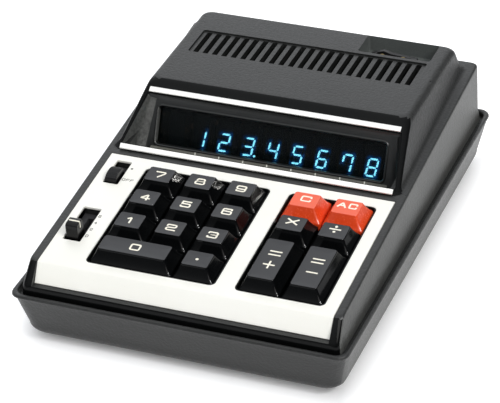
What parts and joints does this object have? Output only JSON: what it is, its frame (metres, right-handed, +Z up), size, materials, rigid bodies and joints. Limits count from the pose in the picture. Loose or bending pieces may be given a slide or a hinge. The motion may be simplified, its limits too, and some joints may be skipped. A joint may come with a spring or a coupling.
{
  "type": "desktop calculator",
  "caption": "Wedge-shaped desktop calculator with a hooded tube display, ivory key panel, press keys, slide switches and a two-part black case.",
  "frame": {"origin": "on the table surface, under the middle of the case rim", "axes": "+Z up, -Y towards the user's side with the keys, +X to the user's right"},
  "size_m": [0.152, 0.206, 0.0636],
  "materials": {
    "case_plastic": "fine textured black moulding",
    "face_enamel": "satin ivory enamel on sheet metal",
    "chrome_trim": "polished",
    "bezel_plastic": "satin black moulding",
    "smoked_filter": "smoked clear filter",
    "tube_glass": "clear glass display tubes",
    "circuit_board": "bare paper laminate",
    "ribbon_plastic": "flat cable",
    "frame_steel": "zinc plated sheet",
    "switch_plastic": "moulded",
    "chip_plastic": "moulded",
    "capacitor_sleeve": "shrink sleeve",
    "knob_plastic": "moulded black",
    "core_steel": "varnished laminations",
    "coil_tape": "wound and taped",
    "brass": "plain",
    "fuse_glass": "glass with metal caps",
    "rubber": "matt",
    "screw_steel": "zinc plated",
    "key_black": "gloss skirt, satin top",
    "key_red": "gloss skirt, satin top"
  },
  "bodies": {
    "case": {"bottom_case": "case_plastic", "top_case": "case_plastic", "faceplate": "face_enamel", "upper_trim_strip": "chrome_trim", "lower_trim_strip": "chrome_trim", "display_bezel": "bezel_plastic", "display_window": "smoked_filter", "display_tubes": "tube_glass", "display_board": "circuit_board", "key_board": "circuit_board", "main_board": "circuit_board", "display_ribbon": "ribbon_plastic", "key_frame": "frame_steel", "transformer_bracket": "frame_steel", "key_switches": "switch_plastic", "logic_chips": "chip_plastic", "power_switch_body": "chip_plastic", "decimal_switch_body": "chip_plastic", "power_inlet": "chip_plastic", "capacitors": "capacitor_sleeve", "transformer_core": "core_steel", "transformer_coil": "coil_tape", "fuse_clips": "brass", "inlet_pins": "brass", "fuse": "fuse_glass", "rubber_feet": "rubber", "case_screws": "screw_steel", "board_screws": "screw_steel", "frame_screws": "screw_steel", "transformer_screws": "screw_steel"},
    "key_0": {"key_0": "key_black"},
    "key_1": {"key_1": "key_black"},
    "key_2": {"key_2": "key_black"},
    "key_3": {"key_3": "key_black"},
    "key_4": {"key_4": "key_black"},
    "key_5": {"key_5": "key_black"},
    "key_6": {"key_6": "key_black"},
    "key_7": {"key_7": "key_black"},
    "key_8": {"key_8": "key_black"},
    "key_9": {"key_9": "key_black"},
    "key_point": {"key_point": "key_black"},
    "key_multiply": {"key_multiply": "key_black"},
    "key_divide": {"key_divide": "key_black"},
    "key_plus_equals": {"key_plus_equals": "key_black"},
    "key_minus_equals": {"key_minus_equals": "key_black"},
    "key_clear_entry": {"key_clear_entry": "key_red"},
    "key_all_clear": {"key_all_clear": "key_red"},
    "power_slider": {"power_slider": "knob_plastic"},
    "decimal_slider": {"decimal_slider": "knob_plastic"}
  },
  "joints": [
    {"name": "key_0_press", "type": "slide", "parent": "case", "child": "key_0", "axis": [0, 0.0802, -0.9968], "range_m": [0, 0.003], "stiffness_N_per_m": 120, "springref_m": -0.004},
    {"name": "key_1_press", "type": "slide", "parent": "case", "child": "key_1", "axis": [0, 0.0802, -0.9968], "range_m": [0, 0.003], "stiffness_N_per_m": 120, "springref_m": -0.004},
    {"name": "key_2_press", "type": "slide", "parent": "case", "child": "key_2", "axis": [0, 0.0802, -0.9968], "range_m": [0, 0.003], "stiffness_N_per_m": 120, "springref_m": -0.004},
    {"name": "key_3_press", "type": "slide", "parent": "case", "child": "key_3", "axis": [0, 0.0802, -0.9968], "range_m": [0, 0.003], "stiffness_N_per_m": 120, "springref_m": -0.004},
    {"name": "key_4_press", "type": "slide", "parent": "case", "child": "key_4", "axis": [0, 0.0802, -0.9968], "range_m": [0, 0.003], "stiffness_N_per_m": 120, "springref_m": -0.004},
    {"name": "key_5_press", "type": "slide", "parent": "case", "child": "key_5", "axis": [0, 0.0802, -0.9968], "range_m": [0, 0.003], "stiffness_N_per_m": 120, "springref_m": -0.004},
    {"name": "key_6_press", "type": "slide", "parent": "case", "child": "key_6", "axis": [0, 0.0802, -0.9968], "range_m": [0, 0.003], "stiffness_N_per_m": 120, "springref_m": -0.004},
    {"name": "key_7_press", "type": "slide", "parent": "case", "child": "key_7", "axis": [0, 0.0802, -0.9968], "range_m": [0, 0.003], "stiffness_N_per_m": 120, "springref_m": -0.004},
    {"name": "key_8_press", "type": "slide", "parent": "case", "child": "key_8", "axis": [0, 0.0802, -0.9968], "range_m": [0, 0.003], "stiffness_N_per_m": 120, "springref_m": -0.004},
    {"name": "key_9_press", "type": "slide", "parent": "case", "child": "key_9", "axis": [0, 0.0802, -0.9968], "range_m": [0, 0.003], "stiffness_N_per_m": 120, "springref_m": -0.004},
    {"name": "key_point_press", "type": "slide", "parent": "case", "child": "key_point", "axis": [0, 0.0802, -0.9968], "range_m": [0, 0.003], "stiffness_N_per_m": 120, "springref_m": -0.004},
    {"name": "key_multiply_press", "type": "slide", "parent": "case", "child": "key_multiply", "axis": [0, 0.0802, -0.9968], "range_m": [0, 0.003], "stiffness_N_per_m": 120, "springref_m": -0.004},
    {"name": "key_divide_press", "type": "slide", "parent": "case", "child": "key_divide", "axis": [0, 0.0802, -0.9968], "range_m": [0, 0.003], "stiffness_N_per_m": 120, "springref_m": -0.004},
    {"name": "key_plus_equals_press", "type": "slide", "parent": "case", "child": "key_plus_equals", "axis": [0, 0.0802, -0.9968], "range_m": [0, 0.003], "stiffness_N_per_m": 120, "springref_m": -0.004},
    {"name": "key_minus_equals_press", "type": "slide", "parent": "case", "child": "key_minus_equals", "axis": [0, 0.0802, -0.9968], "range_m": [0, 0.003], "stiffness_N_per_m": 120, "springref_m": -0.004},
    {"name": "key_clear_entry_press", "type": "slide", "parent": "case", "child": "key_clear_entry", "axis": [0, 0.0802, -0.9968], "range_m": [0, 0.003], "stiffness_N_per_m": 120, "springref_m": -0.004},
    {"name": "key_all_clear_press", "type": "slide", "parent": "case", "child": "key_all_clear", "axis": [0, 0.0802, -0.9968], "range_m": [0, 0.003], "stiffness_N_per_m": 120, "springref_m": -0.004},
    {"name": "power_slider_slide", "type": "slide", "parent": "case", "child": "power_slider", "axis": [0, 0.9968, 0.0802], "range_m": [0, 0.0065]},
    {"name": "decimal_slider_slide", "type": "slide", "parent": "case", "child": "decimal_slider", "axis": [0, 0.9968, 0.0802], "range_m": [0, 0.0141]}
  ]
}
